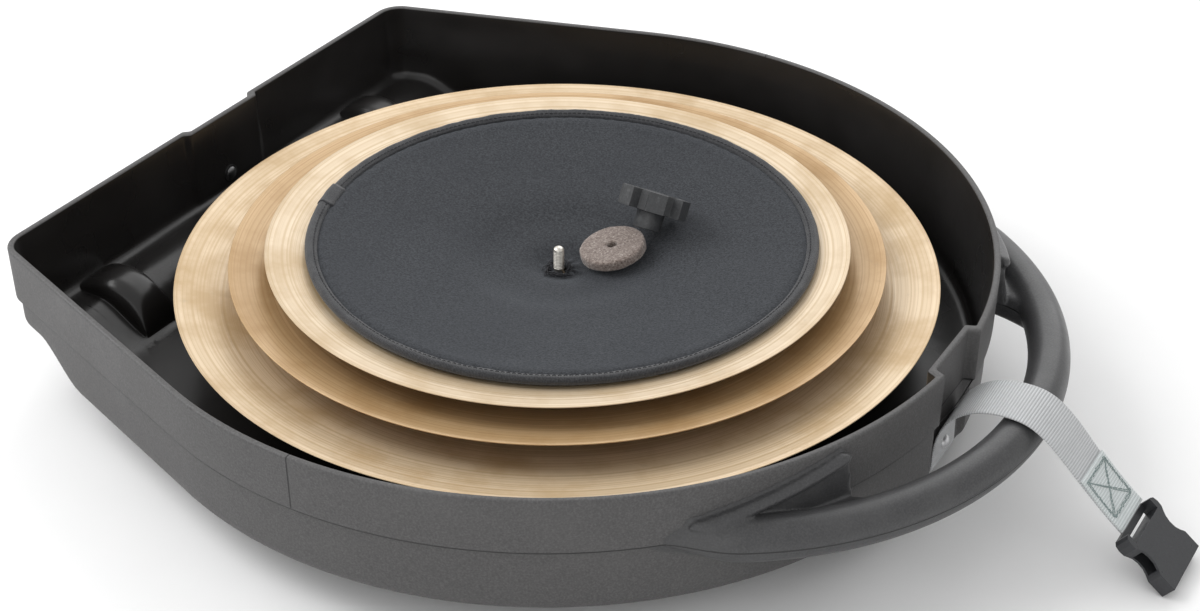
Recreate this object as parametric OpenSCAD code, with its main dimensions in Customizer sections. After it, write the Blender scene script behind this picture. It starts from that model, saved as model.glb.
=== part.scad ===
// Wheeled carrying case for cymbals: the lower half, with three cymbals stacked on its centre stud.
// Origin: centre of the round boss on the underside. +X points to the carry handle, +Z up out of the case.

/* [Case] */
// Height of the moulded half, from its underside to the rim
case_h = 90; // [86:1:100]
// How far the round boss stands proud of the underside
boss_h = 25; // [22:1:30]
// Radius of the round boss where it meets the underside
boss_r = 150; // [145:1:160]
// Outer radius of the round side
arc_r = 307; // [303:1:312]
// Distance from the centre stud to the flat side
flat_x = 309; // [306:1:312]
// Radius of the two corners on the flat side
corner_r = 22; // [16:1:26]
// Distance from the middle plane to the centre of a corner's radius
corner_y = 207; // [200:1:210]
// Thickness of the moulded wall
wall = 4.5; // [4:0.5:5]
// Height of the thicker band below the rim
band_h = 40; // [35:1:45]
// How far that band stands proud of the wall below it
band_proud = 3; // [2:0.5:3.5]
// How far the underside is raised along the flat side
step_h = 22; // [18:1:24]

/* [Carry handle] */
// Radius of the handle's grip tube
grip_r = 14; // [12:0.5:15]
// Radius of the grip's curve, seen from above
grip_arc_r = 227; // [225:1:229]

/* [Wheels] */
// Radius of a wheel
wheel_r = 25; // [24:0.5:25.5]
// Width of a wheel
wheel_w = 20; // [18:1:20]
// Distance from the middle plane to the middle of a wheel
wheel_y = 152; // [148:1:156]

/* [Cymbals] */
// Radius of the largest cymbal, 21 inches across
cymbal_large_r = 266.7; // [254:0.1:268]
// Radius of the middle cymbal, 18 inches across
cymbal_mid_r = 228.6; // [220:0.1:230]
// Radius of the smallest cymbal, 16 inches across
cymbal_small_r = 203.2; // [198:0.1:206]
// Thickness of a cymbal at its bell
cymbal_t = 1.5; // [1:0.1:2]

/* [Pads and felts] */
// Radius of the padded disc on top
pad_r = 179; // [174:1:182]
// Thickness of the padded disc
pad_t = 5; // [4:0.5:5.5]
// Radius of the hidden padded dividers
divider_r = 165; // [150:1:170]
// Radius of a felt washer
felt_r = 24; // [20:0.5:25]
// Thickness of a felt washer
felt_t = 8; // [7:0.5:9]

/* [Stud and knob] */
// Radius of the stud's thread
stud_r = 4; // [3.9:0.1:4.2]
// Height of the stud's tip
stud_top = 94.5; // [90:0.5:98]
// Radius of the star knob over its lobes
knob_r = 25.5; // [22:0.5:26]

/* [Strap] */
// Width of the webbing
strap_w = 38; // [30:1:40]
// Thickness of the webbing
strap_t = 1.6; // [1.4:0.1:2]

/* [Hidden] */

$fn = 96;
fine = 180;              // segments on the large round parts
eps = 0.01;
gap = 0.3;               // clearance between parts that lie on each other

// Case
arc_x = -3;              // centre of the round side
rim_z = boss_h + case_h;
band_z = rim_z - band_h;
edge_r = 12;             // rounding between underside and wall
step_x0 = -275;          // the raised underside ends here
step_x1 = -235;          // and has come down to the full depth here
recess_w = 54;           // strap recess in the round side
recess_x = 295.5;
rear_recess_w = 70;      // strap recess in the flat side
rear_recess_d = 4.5;
rear_rivet_z = 64;
corner = [corner_r - flat_x, corner_y];
arc_centre = [arc_x, 0];
tangent = atan2(corner.y, corner.x - arc_x) - acos((arc_r - corner_r) / norm(corner - arc_centre));

// Handle
grip_centre_x = 122;
grip_z = band_z;
opening_y = 112;         // half length of the hand opening
web_t = 24;

// Wheels
wheel_x = -276;
wheel_z = wheel_r;
well_clear = 2.5;
ear_t = 5;
ear_gap = wheel_w + 2;
axle_r = 4;
bearing_r = 11;
bearing_w = 7;

// Stack on the stud. A cymbal is [radius, bell radius, bell height, height of its edge above its crown, crown z].
shoulder = 0.1;          // slope where the bow leaves the bell
edge_z = [83, 95.2, 104.6];
large_z = 31;
divider_t = 5.5;
middle_z = felt_seat(large_z, 65, 16) + felt_t + divider_t + 0.2;
small_z = felt_seat(middle_z, 58, 14) + felt_t + divider_t + 0.2;
LARGE = [cymbal_large_r, 65, 16, edge_z[0] - large_z, large_z];
MIDDLE = [cymbal_mid_r, 58, 14, edge_z[1] - middle_z, middle_z];
SMALL = [cymbal_small_r, 54, 12.5, edge_z[2] - small_z, small_z];
hole_r = 5.5;
shank_r = stud_r - 0.4;   // below its thread
binding_w = 8;
binding_t = 0.6;
pad_lift = gap + binding_t;
dip_r = 52;              // inside this radius the top pad bridges the bell
pad_shift = [1, 4];
pad_slide = norm(pad_shift);

// Loose parts lying on the top pad
felt_at = [31, 24, 86.5];
felt_lean = 12;
knob_at = [41.5, 50.6, 95.6];
knob_lean = 33;
hub_len = 13;
hub_r = 10;
head_h = 14;

// Strap, drawn in the XZ plane
rivet_z = 42;
anchor_run = [[recess_x + strap_t / 2 + 0.1, 48], [299, 80], [322, 93.5], [349, 92]];
free_run = [[349.3, 92], [373, 90.5], [388, 60], [424, 33]];
buckle_drop = 37;
buckle_len = 44;
buckle_w = 50;
buckle_t = 11;

function dir(a) = [cos(a), sin(a)];
function cap_radius(rb, hb) = (rb * rb + hb * hb) / (2 * hb);
function cap_rise(r, rb, hb) = cap_radius(rb, hb) - sqrt(pow(cap_radius(rb, hb), 2) - r * r);
function felt_seat(z, rb, hb) = z + cap_rise(felt_r, rb, hb) + cymbal_t + 0.1;
function bow_k(c) = (c[3] - c[2] - shoulder * (c[0] - c[1])) / pow(c[0] - c[1], 2);
function bow_rise(c, d) = c[2] + shoulder * d + bow_k(c) * d * d;
function under_z(c, r) = c[4] + (r < c[1] ? cap_rise(r, c[1], c[2]) : bow_rise(c, r - c[1]));
function over_z(c, r) = under_z(c, r) + cymbal_t - 0.4 * r / c[0];
function radii(r0, r1, steps) = [for (i = [0:steps]) r0 + (r1 - r0) * i / steps];
function flip(list) = [for (i = [len(list) - 1:-1:0]) list[i]];
function pad_under_z(r) = r >= dip_r
    ? over_z(SMALL, r + pad_slide) + pad_lift
    : small_z + cymbal_t + gap + (pad_under_z(dip_r) - small_z - cymbal_t - gap) * r / dip_r;
function bezier(p, t) = pow(1 - t, 3) * p[0] + 3 * pow(1 - t, 2) * t * p[1]
    + 3 * (1 - t) * t * t * p[2] + pow(t, 3) * p[3];
function slope(p, t) = let (d = bezier(p, min(1, t + 0.01)) - bezier(p, max(0, t - 0.01))) d / norm(d);
function beside(p, t, d) = bezier(p, t) + d * [-slope(p, t).y, slope(p, t).x];

// ---------- case ----------

// The straight-sided part of the plan, between the round side and the flat side
module plan_wedge(inset) {
    upper = [
        arc_centre + (arc_r - inset - 1) * dir(tangent - 4),
        corner + (corner_r - inset - 0.3) * dir(tangent + 4),
        corner,
        [inset - flat_x, corner_y]
    ];
    polygon(concat(upper, [for (p = flip(upper)) [p.x, -p.y]], [arc_centre]));
    for (side = [-1, 1])
        translate([corner.x, side * corner.y]) circle(r = corner_r - inset);
}

module plan(inset) {
    translate(arc_centre) circle(r = arc_r - inset, $fn = fine);
    plan_wedge(inset);
}

module round_dish(r, h, edge) {
    rotate_extrude($fn = fine) {
        square([r - edge, h]);
        translate([0, edge]) square([r, h - edge]);
        translate([r - edge, edge]) intersection() {
            circle(r = edge);
            translate([0, -edge]) square(edge);
        }
    }
}

module case_outside() {
    translate([arc_x, 0, boss_h]) round_dish(arc_r - band_proud, case_h - band_h, edge_r);
    translate([0, 0, boss_h]) linear_extrude(case_h - band_h) plan_wedge(band_proud);
    translate([0, 0, band_z]) linear_extrude(band_h) plan(0);
    cylinder(r1 = boss_r - 8, r2 = boss_r, h = boss_h + eps, $fn = fine);
}

module case_inside() {
    inset = band_proud + wall;
    translate([arc_x, 0, boss_h + wall]) round_dish(arc_r - inset, case_h, edge_r - wall);
    translate([0, 0, boss_h + wall]) linear_extrude(case_h) plan_wedge(inset);
    translate([0, 0, band_z + wall]) linear_extrude(band_h) plan(wall);
    translate([0, 0, wall]) cylinder(r1 = boss_r - 8 - wall, r2 = boss_r - wall, h = boss_h + eps, $fn = fine);
}

// Everything under the raised floor along the flat side, lifted by the wall thickness for the inside
module under_step(lift) {
    low = boss_h + lift;
    x0 = step_x0 + lift / 2;
    x1 = step_x1 + lift / 2;
    past = 10;
    rotate([90, 0, 0]) linear_extrude(2 * arc_r, center = true) polygon([
        [-arc_r - 20, -20],
        [-arc_r - 20, low + step_h],
        [x0, low + step_h],
        [x1 + past, low - past * step_h / (x1 - x0)],
        [x1 + past, -20]
    ]);
}

module strap_recesses(grow) {
    w = recess_w / 2 + grow;
    translate([recess_x - grow, -w, 0]) cube([40, 2 * w, rim_z + 10]);
    rear_w = rear_recess_w / 2 + grow;
    rear_x = flat_x - rear_recess_d - grow;
    translate([-rear_x - 40, -rear_w, 0]) cube([40, 2 * rear_w, rim_z + 10]);
}

module at_wheel(side) {
    translate([wheel_x, side * wheel_y, wheel_z]) rotate([90, 0, 0]) children();
}

module wheel_wells(grow) {
    for (side = [-1, 1])
        at_wheel(side) cylinder(r = wheel_r + well_clear + grow, h = ear_gap + 2 * grow, center = true);
}

module axle_ears() {
    ceiling = boss_h + step_h + 2 - wheel_z;
    for (side = [-1, 1], ear = [-1, 1])
        at_wheel(side) translate([0, 0, ear * (ear_gap + ear_t) / 2]) linear_extrude(ear_t, center = true) {
            circle(r = 10);
            polygon([[-10, 0], [-16, ceiling], [0, ceiling], [14, ceiling - 7], [10, 0]]);
        }
}

module case_shell() {
    color([0.2, 0.2, 0.21]) difference() {
        union() {
            difference() {
                case_outside();
                under_step(0);
                strap_recesses(0);
                difference() {
                    case_inside();
                    under_step(wall);
                    strap_recesses(wall);
                    wheel_wells(wall - 1);
                }
                wheel_wells(0);
            }
            axle_ears();
        }
        for (side = [-1, 1])
            at_wheel(side) cylinder(r = axle_r + 0.1, h = 60, center = true);
        translate([0, 0, rivet_z]) rotate([0, 90, 0]) cylinder(r = 2.1, h = arc_r + 10);
        translate([0, 0, rear_rivet_z]) rotate([0, -90, 0]) cylinder(r = 2.1, h = arc_r + 10);
        for (a = [90, 210, 330])
            rotate([0, 0, a]) translate([22, 0, 1.5]) cylinder(r = 2, h = wall);
    }
}

// Loop moulded with the case: a round grip that runs into solid webs at both ends
module carry_handle() {
    color([0.21, 0.21, 0.22]) difference() {
        union() {
            translate([grip_centre_x, 0, grip_z]) rotate([0, 0, -64])
                rotate_extrude(angle = 128, $fn = fine) translate([grip_arc_r, 0]) circle(r = grip_r, $fn = 48);
            difference() {
                translate([grip_centre_x, 0, grip_z - web_t / 2]) cylinder(r = grip_arc_r, h = web_t, $fn = fine);
                translate([-arc_r, -opening_y, 0]) cube([2 * arc_r + 100, 2 * opening_y, rim_z]);
                translate([-arc_r, -arc_r, 0]) cube([2 * arc_r - 80, 2 * arc_r, rim_z]);
            }
        }
        translate([arc_x, 0, 0]) cylinder(r = arc_r - band_proud, h = band_z + eps, $fn = fine);
        translate([arc_x, 0, band_z]) cylinder(r = arc_r, h = rim_z, $fn = fine);
    }
}

// ---------- rivets ----------

// Rivet along X, with its head on the side that faces +X of its own frame
module rivet(grip) {
    rotate([0, 90, 0]) {
        translate([0, 0, -grip - 1.5]) cylinder(r = 2, h = grip + 1.5);
        intersection() {
            translate([0, 0, -3.4]) sphere(r = 6);
            cylinder(r = 5, h = 4);
        }
        translate([0, 0, -grip - 1.8]) cylinder(r = 3.4, h = 1);
    }
}

module washer(outer, inner, h) {
    rotate([0, 90, 0]) difference() {
        cylinder(r = outer, h = h);
        translate([0, 0, -1]) cylinder(r = inner, h = h + 2);
    }
}

module front_rivet() {
    color([0.75, 0.76, 0.77]) translate([recess_x + strap_t + 0.2, 0, rivet_z]) rivet(strap_t + 0.2 + wall + 1);
}

module front_rivet_washer() {
    color([0.7, 0.7, 0.71]) translate([recess_x - wall - 0.9, 0, rivet_z]) washer(6.5, 2.1, 0.9);
}

module rear_rivet() {
    x = flat_x - rear_recess_d - wall;
    color([0.75, 0.76, 0.77]) translate([-x + 0.9, 0, rear_rivet_z]) rivet(wall + 0.9);
}

module rear_rivet_washer() {
    x = flat_x - rear_recess_d - wall;
    color([0.7, 0.7, 0.71]) translate([-x, 0, rear_rivet_z]) washer(6.5, 2.1, 0.9);
}

// ---------- centre stud ----------

module stud_flange() {
    color([0.6, 0.61, 0.62]) translate([0, 0, wall]) difference() {
        cylinder(r = 30, h = 4);
        translate([0, 0, -1]) cylinder(r = shank_r + 0.1, h = 6);
        for (a = [90, 210, 330])
            rotate([0, 0, a]) translate([22, 0, -1]) cylinder(r = 2.2, h = 6);
    }
}

module flange_screws() {
    color([0.5, 0.51, 0.52])
        for (a = [90, 210, 330]) rotate([0, 0, a]) translate([22, 0, 0]) {
            translate([0, 0, 2]) cylinder(r = 1.9, h = wall + 4 - 2 + eps);
            translate([0, 0, wall + 4]) cylinder(r1 = 4, r2 = 2.8, h = 2);
        }
}

module centre_stud() {
    free_z = small_z + cymbal_t + pad_t + 5;
    color([0.78, 0.76, 0.72]) {
        translate([0, 0, wall + 0.2]) cylinder(r = shank_r, h = free_z - wall - 0.2);
        translate([0, 0, free_z]) cylinder(r = stud_r, h = stud_top - free_z - 1.2);
        translate([0, 0, stud_top - 1.2]) cylinder(r1 = stud_r, r2 = stud_r - 1.2, h = 1.2);
    }
}

module stud_nut() {
    color([0.6, 0.61, 0.62]) translate([0, 0, wall + 4]) difference() {
        cylinder(r = 7.5, h = 6.5, $fn = 6);
        translate([0, 0, -1]) cylinder(r = shank_r + 0.05, h = 9);
    }
}

// Foam block in the boss, dished to seat the bell of the lowest cymbal
module base_foam() {
    ball = cap_radius(LARGE[1], LARGE[2]) + gap;
    color([0.14, 0.14, 0.15]) difference() {
        translate([0, 0, wall + 0.1]) cylinder(r = 130, h = 33, $fn = fine);
        translate([0, 0, large_z - gap + ball]) sphere(r = ball, $fn = fine);
        cylinder(r = 33, h = 17);
        cylinder(r = stud_r + 1.5, h = 60);
    }
}

// ---------- stack ----------

module ring_of(under, over) {
    rotate_extrude($fn = fine) polygon(concat(under, flip(over)));
}

module cymbal(c) {
    color([0.8, 0.67, 0.42]) {
        r = concat(radii(hole_r, c[1], 8), radii(c[1] + 8, c[0], 14));
        ring_of([for (q = r) [q, under_z(c, q)]], [for (q = r) [q, over_z(c, q)]]);
    }
}

module felt(z) {
    color([0.42, 0.37, 0.34]) translate([0, 0, z]) difference() {
        cylinder(r = felt_r, h = felt_t);
        translate([0, 0, -1]) cylinder(r = stud_r + 0.4, h = felt_t + 2);
    }
}

// Padded divider that follows the underside of the cymbal lying on it
module divider(c) {
    color([0.15, 0.15, 0.17]) {
        r = concat(radii(stud_r + 0.6, c[1], 6), radii(c[1] + 8, divider_r, 8));
        top = -0.1;
        ring_of([for (q = r) [q, under_z(c, q) + top - divider_t]], [for (q = r) [q, under_z(c, q) + top]]);
    }
}

module cymbal_large() { cymbal(LARGE); }
module cymbal_middle() { cymbal(MIDDLE); }
module cymbal_small() { cymbal(SMALL); }
module felt_lower() { felt(felt_seat(large_z, LARGE[1], LARGE[2])); }
module felt_upper() { felt(felt_seat(middle_z, MIDDLE[1], MIDDLE[2])); }
module divider_lower() { divider(MIDDLE); }
module divider_upper() { divider(SMALL); }

module pad_body(r0, r1, grow) {
    r = concat(r0 < dip_r ? radii(r0, dip_r, 3) : [r0], radii(max(r0, dip_r) + 4, r1, 10));
    ring_of([for (q = r) [q, pad_under_z(q) - grow]], [for (q = r) [q, pad_under_z(q) + pad_t + grow]]);
}

module top_pad() {
    color([0.19, 0.2, 0.22]) difference() {
        translate(pad_shift) pad_body(0.01, pad_r - binding_t, 0);
        cylinder(r = stud_r + 1, h = rim_z);
    }
}

// Edge tape folded over the rim of the padded disc
module top_pad_binding() {
    color([0.16, 0.17, 0.18]) translate(pad_shift) difference() {
        pad_body(pad_r - binding_w, pad_r, binding_t);
        pad_body(0.01, pad_r - binding_t + 0.05, 0.05);
    }
}

// ---------- loose parts ----------

module felt_washer() {
    color([0.48, 0.43, 0.4]) translate(felt_at) rotate([0, 0, atan2(felt_at.y, felt_at.x)])
        rotate([0, -felt_lean, 0]) difference() {
            cylinder(r = felt_r, h = felt_t);
            translate([0, 0, -1]) cylinder(r = 3.2, h = felt_t + 2);
        }
}

module at_knob() {
    translate(knob_at) rotate([-knob_lean, 0, 0]) children();
}

module star_knob() {
    lobes = 6;
    pitch = 360 / lobes;
    color([0.16, 0.16, 0.17]) at_knob() difference() {
        union() {
            cylinder(r = hub_r, h = hub_len + eps);
            translate([0, 0, hub_len]) linear_extrude(head_h) polygon([
                for (i = [0:lobes - 1], p = [[-15, 1], [15, 1], [21, 0.72], [39, 0.72]])
                    knob_r * p[1] * dir(i * pitch + p[0])
            ]);
        }
        translate([0, 0, -1]) cylinder(r = 5.5, h = 13);
    }
}

module knob_insert() {
    color([0.75, 0.62, 0.35]) at_knob() translate([0, 0, 0.3]) difference() {
        cylinder(r = 5.5, h = 11.5);
        translate([0, 0, -1]) cylinder(r = stud_r + 0.1, h = 14);
    }
}

// ---------- strap and buckle ----------

module webbing(points) {
    rotate([90, 0, 0]) linear_extrude(strap_w, center = true) polygon(points);
}

// Riveted in the recess, rising to the top of the grip
module strap_anchor_run() {
    x = anchor_run[0].x;
    t = radii(0, 1, 10);
    color([0.74, 0.75, 0.75]) difference() {
        webbing(concat(
            [[x + strap_t / 2, 30]], [for (q = t) beside(anchor_run, q, -strap_t / 2)],
            [for (q = flip(t)) beside(anchor_run, q, strap_t / 2)], [[x - strap_t / 2, 30]]
        ));
        translate([recess_x - 5, 0, rivet_z]) rotate([0, 90, 0]) cylinder(r = 2.1, h = 12);
    }
}

// Falling from the top of the grip to the buckle
module strap_free_run() {
    t = radii(0, 1, 12);
    color([0.74, 0.75, 0.75]) webbing(concat(
        [for (q = t) beside(free_run, q, -strap_t / 2)], [for (q = flip(t)) beside(free_run, q, strap_t / 2)]
    ));
}

// The webbing goes round the buckle's bar and is sewn back on top of itself
module strap_stitched_end() {
    t = radii(0.5, 1, 6);
    near = strap_t / 2;
    far = near + strap_t;
    color([0.7, 0.71, 0.71]) webbing(concat(
        [for (q = t) beside(free_run, q, near)], [for (q = flip(t)) beside(free_run, q, far)]
    ));
}

// Female half of a side-release buckle: a bar for the webbing, then a flat hollow box open at its far end
module buckle_socket() {
    bar = 6;
    inner_t = buckle_t - 3;
    color([0.14, 0.14, 0.15]) translate([free_run[3].x, 0, free_run[3].y]) rotate([0, buckle_drop, 0]) difference() {
        translate([0, -buckle_w / 2, -buckle_t / 2]) cube([buckle_len, buckle_w, buckle_t]);
        translate([-1, -strap_w / 2 - 1, -3]) cube([bar + 1, strap_w + 2, buckle_t]);
        translate([bar + 3, -strap_w / 2, -inner_t / 2]) cube([buckle_len, strap_w, inner_t]);
        for (side = [-1, 1])
            translate([bar + 14, side * (buckle_w / 2 + 8), 0]) cylinder(r = 13, h = 2 * buckle_t, center = true);
    }
}

// ---------- wheels ----------

module tube(outer, inner, h) {
    difference() {
        cylinder(r = outer, h = h, center = true);
        cylinder(r = inner, h = h + 2, center = true);
    }
}

module tyre(side) {
    color([0.1, 0.1, 0.1]) at_wheel(side) difference() {
        rotate_extrude() {
            translate([0, -wheel_w / 2 + 3]) square([wheel_r, wheel_w - 6]);
            translate([0, -wheel_w / 2]) square([wheel_r - 3, wheel_w]);
            for (z = [-1, 1]) translate([wheel_r - 3, z * (wheel_w / 2 - 3)]) circle(r = 3, $fn = 32);
        }
        cylinder(r = 18, h = wheel_w + 2, center = true);
    }
}

module wheel_hub(side) {
    color([0.35, 0.35, 0.36]) at_wheel(side) difference() {
        cylinder(r = 18, h = wheel_w, center = true);
        cylinder(r = 7, h = wheel_w + 2, center = true);
        for (z = [-1, 1])
            translate([0, 0, z * (wheel_w + eps - bearing_w) / 2]) cylinder(r = bearing_r, h = bearing_w, center = true);
    }
}

module bearings(side) {
    color([0.7, 0.71, 0.72]) at_wheel(side)
        for (z = [-1, 1])
            translate([0, 0, z * (wheel_w - bearing_w) / 2]) tube(bearing_r, axle_r + 0.05, bearing_w);
}

module axle_bolt(side) {
    reach = ear_gap / 2 + ear_t;
    color([0.62, 0.63, 0.64]) at_wheel(side) {
        translate([0, 0, -reach]) cylinder(r = axle_r, h = 2 * reach + 8);
        translate([0, 0, -reach - 5]) cylinder(r = 7, h = 5 + eps, $fn = 6);
    }
}

module axle_nut(side) {
    color([0.58, 0.59, 0.6]) at_wheel(side) translate([0, 0, ear_gap / 2 + ear_t]) difference() {
        cylinder(r = 7, h = 6.5, $fn = 6);
        translate([0, 0, -1]) cylinder(r = axle_r + 0.05, h = 9);
    }
}

module tyre_left() { tyre(1); }
module wheel_hub_left() { wheel_hub(1); }
module bearings_left() { bearings(1); }
module axle_bolt_left() { axle_bolt(1); }
module axle_nut_left() { axle_nut(1); }
module tyre_right() { tyre(-1); }
module wheel_hub_right() { wheel_hub(-1); }
module bearings_right() { bearings(-1); }
module axle_bolt_right() { axle_bolt(-1); }
module axle_nut_right() { axle_nut(-1); }

case_shell();
carry_handle();
front_rivet();
front_rivet_washer();
rear_rivet();
rear_rivet_washer();
stud_flange();
flange_screws();
centre_stud();
stud_nut();
base_foam();
cymbal_large();
felt_lower();
divider_lower();
cymbal_middle();
felt_upper();
divider_upper();
cymbal_small();
top_pad();
top_pad_binding();
felt_washer();
star_knob();
knob_insert();
strap_anchor_run();
strap_free_run();
strap_stitched_end();
buckle_socket();
tyre_left();
wheel_hub_left();
bearings_left();
axle_bolt_left();
axle_nut_left();
tyre_right();
wheel_hub_right();
bearings_right();
axle_bolt_right();
axle_nut_right();
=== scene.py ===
"""Looks of the wheeled cymbal case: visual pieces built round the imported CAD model.

Lengths are in millimetres until a mesh is made, and the frame is the CAD's: +X to the carry handle, +Z up.
"""
import itertools
import math
import random

import bpy
import numpy as np
from mathutils import Matrix, Vector


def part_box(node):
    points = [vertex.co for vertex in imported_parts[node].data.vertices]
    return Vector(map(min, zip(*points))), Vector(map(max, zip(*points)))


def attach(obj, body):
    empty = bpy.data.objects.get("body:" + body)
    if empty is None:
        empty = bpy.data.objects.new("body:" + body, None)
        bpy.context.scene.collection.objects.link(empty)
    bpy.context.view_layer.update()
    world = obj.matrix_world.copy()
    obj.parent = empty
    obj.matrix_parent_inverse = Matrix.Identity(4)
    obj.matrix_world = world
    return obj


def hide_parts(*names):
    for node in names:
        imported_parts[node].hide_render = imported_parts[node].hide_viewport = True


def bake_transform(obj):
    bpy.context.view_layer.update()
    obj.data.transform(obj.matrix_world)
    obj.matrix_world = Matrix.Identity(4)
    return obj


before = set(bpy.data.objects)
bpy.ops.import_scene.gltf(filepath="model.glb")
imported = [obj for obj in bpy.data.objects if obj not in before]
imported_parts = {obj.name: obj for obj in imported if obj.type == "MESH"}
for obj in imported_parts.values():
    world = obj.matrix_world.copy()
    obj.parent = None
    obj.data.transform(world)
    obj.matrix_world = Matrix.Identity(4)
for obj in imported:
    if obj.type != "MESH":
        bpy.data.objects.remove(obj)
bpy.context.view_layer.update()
scene = bpy.context.scene
MM = 0.001

# Case
RIM_Z = 115.0
BAND_Z = 75.0
BAND_PROUD = 3.0
WALL = 4.5
UNDER_Z = 25.0
STEP_H = 22.0
STEP_X = (-279.0, -231.0)
ARC_R = 307.0
ARC_X = -3.0
FLAT_X = 309.0
CORNER_R = 22.0
CORNER_Y = 207.0
BOSS_R = 150.0
RECESS = (295.5, 27.0)        # how far out its floor is, half its width
REAR_RECESS = (304.5, 35.0)

# Carry handle
GRIP_X = 122.0
GRIP_ARC_R = 227.0
GRIP_R = 14.0

# Wheels
WHEEL = (-276.0, 152.0, 25.0)

# Cymbals: radius, bell radius, bell height, height of the edge above the crown, height of the crown
CYMBALS = {
    "cymbal_large": (266.7, 65.0, 16.0, 52.0, 31.0),
    "cymbal_middle": (228.6, 58.0, 14.0, 46.828, 48.372),
    "cymbal_small": (203.2, 54.0, 12.5, 38.642, 65.958),
}
CYMBAL_T = 1.5
PAD_R = 179.0
PAD_T = 5.0
PAD_AT = (1.0, 4.0)
PAD_SLIDE = math.hypot(*PAD_AT)
DIP_R = 52.0
STUD_TOP = 94.5
FELT_AT = (31.0, 24.0, 86.5)
FELT_LEAN = 12.0
KNOB_AT = (41.5, 50.6, 95.6)
KNOB_LEAN = 33.0

# Strap
STRAP_W = 38.0
STRAP_T = 1.6
ANCHOR_RUN = [(296.4, 48), (299, 80), (322, 93.5), (349, 92)]
FREE_RUN = [(349, 92), (373, 90.5), (388, 60), (424, 33)]
BUCKLE_AT = (424.0, 0.0, 33.0)
BUCKLE_DROP = 37.0


# ---------- small helpers ----------

def smooth(t):
    t = np.clip(t, 0.0, 1.0)
    return t * t * (3 - 2 * t)


def make_mesh(name, vertices, faces, materials, face_material=None, shade_smooth=True):
    mesh = bpy.data.meshes.new(name)
    mesh.from_pydata([tuple(v) for v in np.asarray(vertices, float) * MM], [], faces)
    for material in materials:
        mesh.materials.append(material)
    if face_material is not None:
        mesh.polygons.foreach_set("material_index", np.asarray(face_material, np.int32))
    mesh.polygons.foreach_set("use_smooth", [shade_smooth] * len(mesh.polygons))
    mesh.validate()
    mesh.update()
    obj = bpy.data.objects.new(name, mesh)
    scene.collection.objects.link(obj)
    return obj


def skin(rings, closed=False, caps=True):
    """Vertices and faces of rings shaped (rings, points, 3). closed joins the last ring to the first."""
    rows, n = rings.shape[:2]
    faces = []
    for i in range(rows if closed else rows - 1):
        a, b = i * n, ((i + 1) % rows) * n
        faces += [(a + j, a + (j + 1) % n, b + (j + 1) % n, b + j) for j in range(n)]
    if caps and not closed:
        faces.append(tuple(reversed(range(n))))
        faces.append(tuple((rows - 1) * n + j for j in range(n)))
    return rings.reshape(-1, 3), faces


def lathe(profile, steps=192, closed=True):
    """Rings for a closed profile [(radius, z)] turned about Z."""
    a = np.linspace(0, 2 * math.pi, steps, endpoint=False)
    p = np.asarray(profile, float)
    rings = np.empty((len(p), steps, 3))
    rings[:, :, 0] = p[:, :1] * np.cos(a)
    rings[:, :, 1] = p[:, :1] * np.sin(a)
    rings[:, :, 2] = p[:, 1:]
    return skin(rings, closed=closed)


def level_ring(r, angle, z):
    """Points of a level circle round the Z axis."""
    return np.column_stack([r * np.cos(angle), r * np.sin(angle), np.full(len(angle), float(z))])


def arc(cx, cy, r, a0, a1, n):
    """n + 1 points on a circle, angles in degrees."""
    return [(cx + r * math.cos(math.radians(a0 + (a1 - a0) * i / n)),
             cy + r * math.sin(math.radians(a0 + (a1 - a0) * i / n))) for i in range(n + 1)]


def quarter(step):
    """Distances in and up from the foot of a unit quarter circle that ends in a flat floor."""
    return [(1 - math.cos(math.radians(a)), 1 - math.sin(math.radians(a))) for a in range(step, 91, step)]


def bezier(points, start, end, count):
    """Points of a cubic curve between two of its parameters."""
    a, b, c, d = [np.asarray(point, float) for point in points]
    return [(1 - t) ** 3 * a + 3 * (1 - t) ** 2 * t * b + 3 * (1 - t) * t * t * c + t ** 3 * d
            for t in np.linspace(start, end, count)]


def measured(path):
    """Directions along a path, and its length up to each point."""
    tangent = np.gradient(path, axis=0)
    tangent /= np.linalg.norm(tangent, axis=1)[:, None]
    steps = np.linalg.norm(np.diff(path, axis=0), axis=1)
    return tangent, np.concatenate([[0], np.cumsum(steps)])


def wobble(points, scale, amount, seed=0.0):
    """Smooth repeatable noise at each point, from sines of unrelated directions."""
    rng = np.random.default_rng(int(seed * 1000) + 11)
    total = np.zeros(len(points))
    for _ in range(7):
        direction = rng.normal(size=3)
        direction *= (0.6 + 0.9 * rng.random()) / np.linalg.norm(direction)
        total += np.sin(points @ direction * (2 * math.pi / scale) + rng.random() * 6.28)
    return amount * total / 3.5


def tube(path, radius, steps=8):
    """Rings round a path of points."""
    path = np.asarray(path, float)
    tangent, _ = measured(path)
    side = np.cross(tangent[0], (0.0, 0.0, 1.0))
    if np.linalg.norm(side) < 1e-3:
        side = np.array((1.0, 0.0, 0.0))
    rings = np.empty((len(path), steps, 3))
    for i, (p, t) in enumerate(zip(path, tangent)):
        side = side - t * (side @ t)
        side /= np.linalg.norm(side)
        up = np.cross(side, t)
        for j in range(steps):
            a = 2 * math.pi * j / steps
            rings[i, j] = p + radius * (math.cos(a) * side + math.sin(a) * up)
    return skin(rings)


def joined(parts):
    """One list of vertices and faces out of several."""
    vertices, faces, count = [], [], 0
    for v, f in parts:
        vertices.append(np.asarray(v, float))
        faces += [tuple(i + count for i in face) for face in f]
        count += len(v)
    return np.concatenate(vertices), faces


def bevel(obj, width, segments=3, angle=35):
    """Rounds the edges sharper than an angle in degrees."""
    modifier = obj.modifiers.new("edges", "BEVEL")
    modifier.width = width * MM
    modifier.segments = segments
    modifier.limit_method = "ANGLE"
    modifier.angle_limit = math.radians(angle)
    modifier.harden_normals = True


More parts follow.
